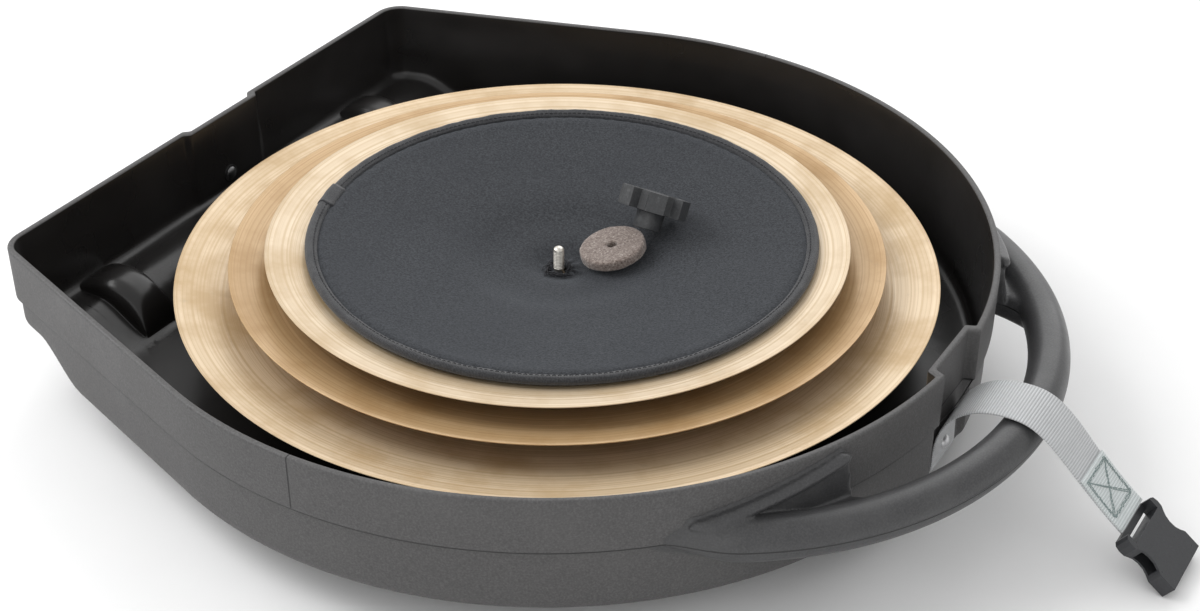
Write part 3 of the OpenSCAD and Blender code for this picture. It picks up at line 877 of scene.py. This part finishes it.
def edge_tape(start, end, inner_r, grow, steps):
    """Tape folded round the pad's rim between two angles in degrees, its section grown outwards."""
    full = end - start >= 360
    angle = np.radians(np.linspace(start, end, steps, endpoint=not full))
    low_in, low_out = pad_under(inner_r), pad_under(PAD_R)
    top_in, top_out = low_in + PAD_T, low_out + PAD_T
    section = [(inner_r, top_in - 0.9), (inner_r + 0.5, top_in + 0.1), (inner_r + 2.2, top_in + 0.45),
               (PAD_R - 3.6, top_out + 0.2), (PAD_R - 1.6, top_out - 0.2), (PAD_R - 0.4, top_out - 1.4),
               (PAD_R, low_out + 2.6), (PAD_R - 0.3, low_out + 1.0), (PAD_R - 1.4, low_out + 0.1),
               (PAD_R - 3.6, low_out - 0.3), (inner_r + 1.0, low_in - 0.3), (inner_r, low_in + 1.0)]
    out = np.array(section) - np.mean(section, axis=0)
    grown = np.array(section) + out * grow / np.linalg.norm(out, axis=1)[:, None]
    rings = np.array([[(r * math.cos(a), r * math.sin(a), z) for r, z in grown] for a in angle])
    flat = rings.reshape(-1, 3)
    shift = wobble(flat, 23, 0.3, 0.9) + wobble(flat, 6, 0.16, 0.4)
    flat[:, 2] += shift
    vertices, faces = skin(flat.reshape(rings.shape), closed=full)
    return vertices + np.array([PAD_AT[0], PAD_AT[1], 0.0]), faces


def pad_edge():
    main = edge_tape(0, 360, PAD_R - 8.6, 0.0, 420)
    lap = edge_tape(191.0, 199.0, PAD_R - 9.8, 1.0, 14)
    vertices, faces = joined([main, lap])
    obj = make_mesh("pad_edge_tape", vertices, faces, [BINDING])
    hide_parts("top_pad_binding")
    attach(obj, "pad")

    stitches = []
    r = PAD_R - 6.2
    count = 300
    z = pad_under(r) + PAD_T + 0.42
    for i in range(count):
        a0 = 2 * math.pi * i / count
        a1 = a0 + 2 * math.pi / count * 0.66
        path = [(PAD_AT[0] + r * math.cos(a), PAD_AT[1] + r * math.sin(a), z + lift)
                for a, lift in ((a0, -0.15), ((a0 + a1) / 2, 0.25), (a1, -0.15))]
        stitches.append(tube(path, 0.28, 5))
    vertices, faces = joined(stitches)
    obj = make_mesh("pad_edge_stitches", vertices, faces, [THREAD])
    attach(obj, "pad")


def frayed_hole():
    """Loose fibres round the hole that the stud comes through."""
    rng = random.Random(21)
    parts = []
    for _ in range(46):
        a = rng.uniform(0, 6.283)
        r = rng.uniform(5.0, 8.5)
        x, y = r * math.cos(a), r * math.sin(a)
        z = pad_under(9) + PAD_T + 0.8
        bend = rng.uniform(-1.2, 1.2)
        length = rng.uniform(3, 7)
        path = []
        for i in range(6):
            t = i / 5
            heading = a + bend + t * 1.6
            rise = 2.2 * math.sin(math.pi * t) * rng.uniform(0.5, 1.0)
            path.append((x + t * length * math.cos(heading), y + t * length * math.sin(heading), z + rise))
        parts.append(tube(path, rng.uniform(0.22, 0.42), 5))
    vertices, faces = joined(parts)
    obj = make_mesh("pad_hole_fibres", vertices, faces, [THREAD])
    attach(obj, "pad")


def divider(node, body, cymbal):
    """Padded disc under a cymbal, rounded at its rim and a little uneven below."""
    c = CYMBALS[cymbal]
    radii = [4.8, 5.4, 6.4, 9] + list(np.linspace(14, 158, 30)) + [161, 163, 164.2]
    inner, outer = radii[0], 165.0
    top = [(r, under_z(c, r) - 0.15 - 1.4 * smooth((r - 158) / 7) ** 2) for r in radii]
    low = [(r, under_z(c, r) - 5.4 + 1.6 * smooth((r - 158) / 7) ** 2) for r in radii]
    rim = [(outer, (top[-1][1] + low[-1][1]) / 2)]
    vertices, faces = lathe([(inner - 0.2, (top[0][1] + low[0][1]) / 2)] + low + rim + top[::-1], 160)
    halfway = [(a[1] + b[1]) / 2 for a, b in zip(top, low)]
    below = vertices[:, 2] < np.interp(np.hypot(vertices[:, 0], vertices[:, 1]), radii, halfway)
    vertices[below, 2] += np.abs(wobble(vertices[below], 60, 0.5, 0.6))
    obj = make_mesh(node + "_cover", vertices, faces, [PAD])
    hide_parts(node)
    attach(obj, body)


def base_foam():
    """Foam block in the boss, dished for the bell of the lowest cymbal."""
    low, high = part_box("base_foam")
    bottom, top = low.z / MM, high.z / MM
    _, bell_r, bell_h, _, crown = CYMBALS["cymbal_large"]
    ball = (bell_r ** 2 + bell_h ** 2) / (2 * bell_h) + 0.3

    def dish(r):
        return crown - 0.3 + ball - math.sqrt(ball ** 2 - r * r)

    lip = math.sqrt(ball ** 2 - (crown - 0.3 + ball - top) ** 2)
    profile = [(33.5, bottom), (129, bottom), (130, bottom + 1.5), (130, top - 3), (129.2, top - 1)]
    profile += [(127, top - 0.1), (110, top - 0.2), (80, top - 0.1), (lip + 3, top - 0.1), (lip, top - 0.9)]
    profile += [(r, dish(r) - 0.1) for r in np.linspace(lip - 3, 7, 16)]
    profile += [(5.8, dish(6) - 0.8), (5.6, bottom + 16.5), (8, bottom + 16.6), (30, bottom + 16.6)]
    profile += [(33, bottom + 16)]
    vertices, faces = lathe(profile, 160)
    vertices[:, 2] -= np.abs(wobble(vertices, 25, 0.25, 0.1)) * (vertices[:, 2] > bottom + 20)
    obj = make_mesh("foam_block", vertices, faces, [FOAM])
    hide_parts("base_foam")
    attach(obj, "case")


# ---------- loose parts and stud ----------

def placed(vertices, at, *turns):
    """Vertices turned by (axis, degrees) pairs, the first one nearest the part, then moved."""
    matrix = Matrix.Translation(at)
    for axis, degrees in turns:
        matrix = matrix @ Matrix.Rotation(math.radians(degrees), 4, axis)
    m = np.array(matrix)
    return np.asarray(vertices, float) @ m[:3, :3].T + m[:3, 3]


def felt_ring(seed):
    """Thick felt washer with soft edges and a hairy surface, standing on z = 0."""
    profile = arc(21.6, 5.9, 2.1, 90, 0, 5) + arc(21.8, 1.9, 1.9, 0, -90, 5)
    profile += [(14, 0), (8, 0), (4.2, 0.1)]
    profile += arc(4.3, 1.1, 1.0, 270, 180, 3) + arc(4.5, 6.8, 1.2, 180, 90, 4)
    profile += [(8, 8), (12, 8), (16, 8), (19.5, 8)]
    vertices, faces = lathe(profile, 120)
    out = vertices - np.array([0, 0, 4.0])
    out[:, :2] *= ((np.hypot(out[:, 0], out[:, 1]) - 13) / 11)[:, None]
    out /= np.linalg.norm(out, axis=1)[:, None] + 1e-6
    hair = wobble(vertices, 5, 0.22, seed) + wobble(vertices, 2.1, 0.12, 0.2) - 0.25
    return vertices + out * hair[:, None], faces


def felts():
    heading = math.degrees(math.atan2(FELT_AT[1], FELT_AT[0]))
    vertices, faces = felt_ring(0.7)
    leaning = placed(vertices, FELT_AT, ("Z", heading), ("Y", -FELT_LEAN))
    loose = make_mesh("felt_ring", leaning, faces, [FELT])
    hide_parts("felt_washer")
    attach(loose, "loose_felt")
    for node, body, seed in (("felt_lower", "lower_felt", 0.2), ("felt_upper", "upper_felt", 0.5)):
        vertices, faces = felt_ring(seed)
        obj = make_mesh(node + "_ring", vertices + np.array([0, 0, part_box(node)[0].z / MM]), faces, [FELT])
        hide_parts(node)
        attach(obj, body)


def star_knob():
    """Six square lobes over a turned hub, with a shallow dish in the top."""
    knob_r, hub_len, head_h = 25.5, 13.0, 14.0
    outline = []
    for i in range(6):
        for a, share in ((-15, 1.0), (15, 1.0), (21, 0.72), (39, 0.72)):
            turn = math.radians(i * 60 + a)
            outline.append((knob_r * share * math.cos(turn), knob_r * share * math.sin(turn)))
    outline = np.array(outline)
    top = hub_len + head_h
    levels = [(1.0, hub_len), (1.0, top), (0.93, top), (0.9, top - 0.7)]
    rings = np.array([np.column_stack([outline * s, np.full(len(outline), z)]) for s, z in levels])
    vertices, faces = skin(rings)
    leaning = placed(vertices, KNOB_AT, ("X", -KNOB_LEAN))
    head = make_mesh("knob_head", leaning, faces, [KNOB], shade_smooth=False)
    bevel(head, 0.7)
    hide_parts("star_knob")
    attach(head, "loose_knob")
    profile = [(5.6, 0.3), (5.9, 0.0), (9.0, 0.0), (9.7, 0.25), (10, 0.9), (10, 6.5)]
    profile += [(10, hub_len - 1.2), (10.4, hub_len - 0.5), (11.2, hub_len + 0.1)]
    profile += [(11.2, hub_len + 1), (5.6, hub_len + 1)]
    vertices, faces = lathe(profile, 72)
    hub = make_mesh("knob_hub", placed(vertices, KNOB_AT, ("X", -KNOB_LEAN)), faces, [KNOB])
    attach(hub, "loose_knob")


def threaded_stud():
    """Plain shank, then a rolled thread with a rounded end."""
    pitch, thread_z, tip = 1.25, 77.0, 2.6
    angle = np.linspace(0, 2 * math.pi, 28, endpoint=False)
    rings = []
    for z in np.concatenate([[4.7, 76.9], np.arange(77.1, STUD_TOP - tip, 0.2)]):
        wave = 0.5 + 0.5 * np.cos(2 * math.pi * (z / pitch) - angle)
        r = 3.95 - 0.42 * wave * (z > thread_z) - 0.4 * (z < thread_z)
        rings.append(level_ring(r, angle, z))
    for t in np.linspace(0.15, 0.98, 8):
        rings.append(level_ring(3.75 * math.sqrt(1 - t * t), angle, STUD_TOP - tip + tip * t))
    vertices, faces = skin(np.array(rings))
    obj = make_mesh("stud_thread", vertices, faces, [STUD])
    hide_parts("centre_stud")
    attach(obj, "case")


# ---------- strap ----------

def strap_path():
    """Points up the recess, over the grip and down to the buckle, in the XZ plane."""
    up = [(296.4, z) for z in (30, 36, 42)]
    return np.array(up + bezier(ANCHOR_RUN, 0, 1, 26) + bezier(FREE_RUN, 0, 1, 34)[1:])


def sway(t):
    """Tilt of the webbing's edges along its length, as it hangs a little askew."""
    return 1.6 * math.sin(math.pi * min(1.0, t * 1.15)) - 0.6 * smooth(t * 3)


def ribbon(name, path, offset, material, twist=None):
    """Flat webbing along a path in the XZ plane, offset to its upper side, with a UV in metres."""
    path = np.asarray(path, float)
    tangent, length = measured(path)
    normal = np.column_stack([-tangent[:, 1], tangent[:, 0]])
    half = STRAP_W / 2
    right = [half - 4, half - 1.6, half - 0.5, half]
    across = [-y for y in right[::-1]] + list(np.linspace(4 - half, half - 4, 9)[1:-1]) + right
    thin = [0.35, 0.75, 0.95] + [1.0] * 9 + [0.95, 0.75, 0.35]
    upper = [(y, STRAP_T / 2 * k) for y, k in zip(across, thin)]
    section = upper + [(y, -h) for y, h in upper[::-1]]
    rings = np.empty((len(path), len(section), 3))
    for i, (p, n) in enumerate(zip(path, normal)):
        lean = 0.0 if twist is None else twist(length[i] / length[-1])
        for j, (y, h) in enumerate(section):
            d = offset + h + lean * y / half
            rings[i, j] = (p[0] + n[0] * d, y, p[1] + n[1] * d)
    vertices, faces = skin(rings)
    obj = make_mesh(name, vertices, faces, [material])
    layer = obj.data.uv_layers.new(name="weave")
    count = len(section)
    for loop in obj.data.loops:
        i, j = divmod(loop.vertex_index, count)
        layer.data[loop.index].uv = (section[j][0] * MM, length[i] * MM)
    return obj, length[-1]


def strap():
    obj, length = ribbon("strap_webbing", strap_path(), 0.0, WEBBING, sway)
    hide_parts("strap_anchor_run", "strap_free_run")
    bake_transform(obj)

    fold = bezier(FREE_RUN, 0.66, 1, 16)
    end, end_length = ribbon("strap_fold_back", fold, STRAP_T + 0.12, STITCHED)
    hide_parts("strap_stitched_end")
    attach(end, "strap_end")
    stitching(fold)


def stitching(path):
    """Box and cross of thread that sews the folded end down."""
    path = np.asarray(path, float)
    tangent, length = measured(path)
    rng = random.Random(5)

    def spot(along, across, lift):
        x, z = np.interp(along, length, path[:, 0]), np.interp(along, length, path[:, 1])
        tx, tz = np.interp(along, length, tangent[:, 0]), np.interp(along, length, tangent[:, 1])
        up = STRAP_T * 1.5 + 0.12 + lift
        return (x - tz * up, across, z + tx * up)

    near, far, side = 3.0, length[-1] - 10, STRAP_W / 2 - 3.5
    corners = [(near, -side), (near, side), (far, side), (far, -side)]
    rows = [(corners[i], corners[(i + 1) % 4]) for i in range(4)]
    rows += [(corners[0], corners[2]), (corners[1], corners[3])]
    rows += [((a[0] + 1.1, a[1] * 0.93), (b[0] + 1.1, b[1] * 0.93)) for a, b in rows]
    parts = []
    for a, b in rows:
        count = max(4, int(math.dist(a, b) / 2.4))
        for i in range(count):
            t0 = (i + 0.05) / count
            t1 = (i + 0.92) / count
            jitter = rng.uniform(-0.35, 0.35)
            points = []
            for t, lift in ((t0, -0.1), ((t0 + t1) / 2, 0.3), (t1, -0.1)):
                along, across = a[0] + (b[0] - a[0]) * t, a[1] + (b[1] - a[1]) * t
                points.append(spot(along + jitter, across + jitter * 0.6, lift))
            parts.append(tube(points, 0.36, 5))
    vertices, faces = joined(parts)
    obj = make_mesh("strap_stitches", vertices, faces, [STITCH])
    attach(obj, "strap_end")


# ---------- buckle ----------

def buckle():
    """Female half of a side-release buckle: bar and frame for the webbing, then a waisted hollow body."""
    side = [(0, 21.5), (1.5, 24), (5, 25), (9, 24.6), (12, 22.4), (15, 20.6), (19, 19.6), (24, 20.0),
            (28, 22.0), (30, 23.6), (31.5, 24.4), (44, 24.4)]
    outline = side + [(x, -y) for x, y in side[::-1]]
    half_t = 5.5
    rings = np.array([[(x, y, z) for x, y in outline] for z in (-half_t, half_t)])
    vertices, faces = skin(rings)
    body = make_mesh("buckle_body", vertices, faces, [BUCKLE], shade_smooth=False)

    def cut(name, low, high):
        corners = list(itertools.product(*zip(low, high)))
        sides = [(0, 1, 3, 2), (4, 6, 7, 5), (0, 4, 5, 1), (2, 3, 7, 6), (0, 2, 6, 4), (1, 5, 7, 3)]
        tool = make_mesh(name, corners, sides, [], shade_smooth=False)
        modifier = body.modifiers.new(name, "BOOLEAN")
        modifier.operation = "DIFFERENCE"
        modifier.object = tool
        modifier.solver = "EXACT"
        return tool

    tools = [
        cut("slot_cut", (2.6, -20.0, -2.2), (7.6, 20.0, 8.0)),
        cut("slot_low_cut", (4.6, -20.0, -8.0), (7.6, 20.0, 0.0)),
        cut("front_cut", (-2.0, -20.0, -2.2), (3.5, 20.0, 8.0)),
        cut("mouth_cut", (11.0, -20.2, -3.9), (50.0, 20.2, 3.9)),
        cut("left_window_cut", (14.0, 15.5, -3.9), (28.5, 30.0, 3.9)),
        cut("right_window_cut", (14.0, -30.0, -3.9), (28.5, -15.5, 3.9)),
    ]
    bpy.context.view_layer.update()
    evaluated = body.evaluated_get(bpy.context.evaluated_depsgraph_get())
    carved = bpy.data.meshes.new_from_object(evaluated)
    body.modifiers.clear()
    body.data = carved
    for tool in tools:
        bpy.data.objects.remove(tool)
    for polygon in body.data.polygons:
        polygon.use_smooth = False
    bevel(body, 0.8, 3, 30)
    place = Matrix.Translation(Vector(BUCKLE_AT) * MM) @ Matrix.Rotation(math.radians(BUCKLE_DROP), 4, "Y")
    place = place @ Matrix.Translation((2.5 * MM, 0, 0))
    body.data.transform(place)
    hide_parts("buckle_socket")
    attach(body, "buckle")


# ---------- materials and edges of the CAD parts that stay ----------

def dress(node, material, edge=0.0):
    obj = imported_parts[node]
    obj.data.materials.clear()
    obj.data.materials.append(material)
    if edge:
        bevel(obj, edge, 2, 40)


def cad_parts():
    dress("front_rivet", ALUMINIUM)
    for name in ("rear_rivet", "front_rivet_washer", "rear_rivet_washer"):
        dress(name, DARK_STEEL)
    for name in ("stud_flange", "flange_screws", "stud_nut"):
        dress(name, STEEL)
    dress("knob_insert", BRASS)
    for side in ("left", "right"):
        dress("tyre_" + side, RUBBER)
        dress("wheel_hub_" + side, KNOB, 0.6)
        dress("bearings_" + side, STEEL)
        dress("axle_bolt_" + side, STEEL, 0.5)
        dress("axle_nut_" + side, STEEL, 0.5)


# ---------- floor, light and camera ----------

def studio():
    """Pale paper floor, lights and the camera."""
    half = 3000
    vertices = [(-half, -half, 0), (half, -half, 0), (half, half, 0), (-half, half, 0)]
    floor = make_mesh("floor", vertices, [(0, 1, 2, 3)], [], shade_smooth=False)
    paper = Shader("floor_paper", Roughness=0.9)
    paper.color(paper.mix(paper.noise(40, 2.0), (0.88, 0.88, 0.88), (0.9, 0.9, 0.9)))
    floor.data.materials.append(paper.material)
    lights()
    camera()


def lights():
    """White room and three large lamps: place in metres, width and power."""
    world = bpy.data.worlds.new("studio")
    world.use_nodes = True
    background = world.node_tree.nodes["Background"]
    background.inputs["Color"].default_value = (1.0, 1.0, 1.0, 1.0)
    background.inputs["Strength"].default_value = 0.8
    scene.world = world

    aim = Vector((0.0, 0.0, 0.05))
    lamps = [
        ("key_left", (-1.7, -0.5, 1.7), 1.6, 34.0),
        ("back_top", (-0.3, 2.0, 1.5), 2.4, 24.0),
        ("front_fill", (0.4, -2.4, 1.2), 2.0, 8.0),
    ]
    for name, at, size, power in lamps:
        light = bpy.data.lights.new(name, "AREA")
        light.size = size
        light.energy = power
        lamp = bpy.data.objects.new(name, light)
        lamp.location = at
        lamp.rotation_euler = (aim - Vector(at)).to_track_quat("-Z", "Y").to_euler()
        scene.collection.objects.link(lamp)


def camera():
    data = bpy.data.cameras.new("camera")
    data.lens = 60.0
    data.sensor_width = 36.0
    data.shift_x = -0.0147
    obj = bpy.data.objects.new("camera", data)
    forward = Vector((-0.4236, 0.7152, -0.5560)).normalized()
    turn = forward.to_track_quat("-Z", "Y").to_matrix().to_4x4()
    roll = Matrix.Rotation(math.radians(0.45), 4, "Z")
    obj.matrix_world = Matrix.Translation((0.6413, -1.0009, 0.8399)) @ turn @ roll
    scene.collection.objects.link(obj)
    scene.camera = obj
    scene.view_settings.view_transform = "Standard"


studio()
case_body()
wheel_arches()
carry_handle()
cymbals()
top_pad()
pad_edge()
frayed_hole()
divider("divider_lower", "lower_divider", "cymbal_middle")
divider("divider_upper", "upper_divider", "cymbal_small")
base_foam()
felts()
star_knob()
threaded_stud()
strap()
buckle()
cad_parts()
